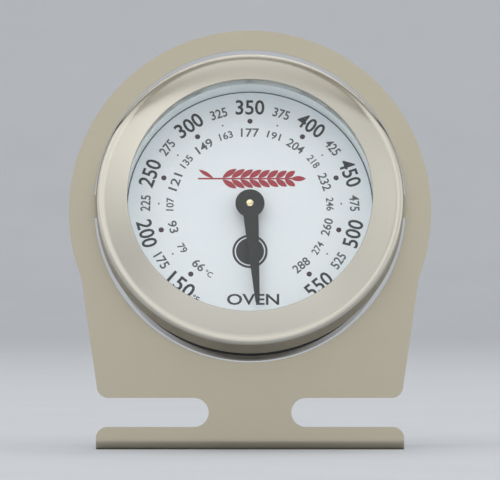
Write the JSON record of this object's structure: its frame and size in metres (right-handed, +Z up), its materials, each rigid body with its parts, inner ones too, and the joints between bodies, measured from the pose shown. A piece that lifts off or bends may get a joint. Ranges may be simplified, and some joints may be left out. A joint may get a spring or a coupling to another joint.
{
  "type": "oven thermometer",
  "caption": "Round dial oven thermometer whose head turns on two pivots inside an arched sheet stand with open rack slots and a folded foot.",
  "frame": {"origin": "in the middle of the foot's flat underside, on the surface that the thermometer stands on; the upright sheet stands 14.6 mm in front of it", "axes": "+Z up; the dial side faces -Y; +X is to the viewer's right when looking at the dial"},
  "size_m": [0.071, 0.0427, 0.0821],
  "materials": {
    "stand_steel": "brushed",
    "bezel_steel": "satin",
    "case_steel": "brushed",
    "gasket_fibre": "matte",
    "window_glass": "clear",
    "spacer_white": "satin",
    "dial_white": "satin",
    "support_aluminium": "satin",
    "bridge_steel": "satin",
    "rivet_steel": "satin",
    "bushing_brass": "satin",
    "coil_bimetal": "satin",
    "washer_steel": "satin",
    "spindle_brass": "polished",
    "pointer_dark": "matte"
  },
  "bodies": {
    "stand": {"stand_plate": "stand_steel"},
    "head": {"case_cup": "case_steel", "bezel": "bezel_steel", "lens_gasket": "gasket_fibre", "lens": "window_glass", "spacer_ring": "spacer_white", "dial_plate": "dial_white", "dial_support": "support_aluminium", "movement_bridge": "bridge_steel", "bridge_rivet_top": "rivet_steel", "bridge_rivet_bottom": "rivet_steel", "front_bushing": "bushing_brass", "rear_bushing": "bushing_brass", "bimetal_coil": "coil_bimetal", "coil_anchor": "bridge_steel", "anchor_rivet": "rivet_steel", "pivot_eyelet_left": "bushing_brass", "pivot_eyelet_right": "bushing_brass", "friction_washer_left": "washer_steel", "friction_washer_right": "washer_steel"},
    "needle": {"spindle": "spindle_brass", "thrust_washer": "bushing_brass", "coil_collet": "bushing_brass", "pointer": "pointer_dark", "pointer_hub": "pointer_dark"}
  },
  "joints": [
    {"name": "head_tilt", "type": "hinge", "parent": "stand", "child": "head", "pos_m": [0, -0.01463, 0.04765], "axis": [1, 0, 0], "continuous": true},
    {"name": "pointer_turn", "type": "hinge", "parent": "head", "child": "needle", "pos_m": [0, -0.01463, 0.04765], "axis": [0, 0.9455, -0.3256], "range_deg": [-25, 330], "stiffness_Nm_per_rad": 0.0004, "deforming": ["bimetal_coil"]}
  ]
}
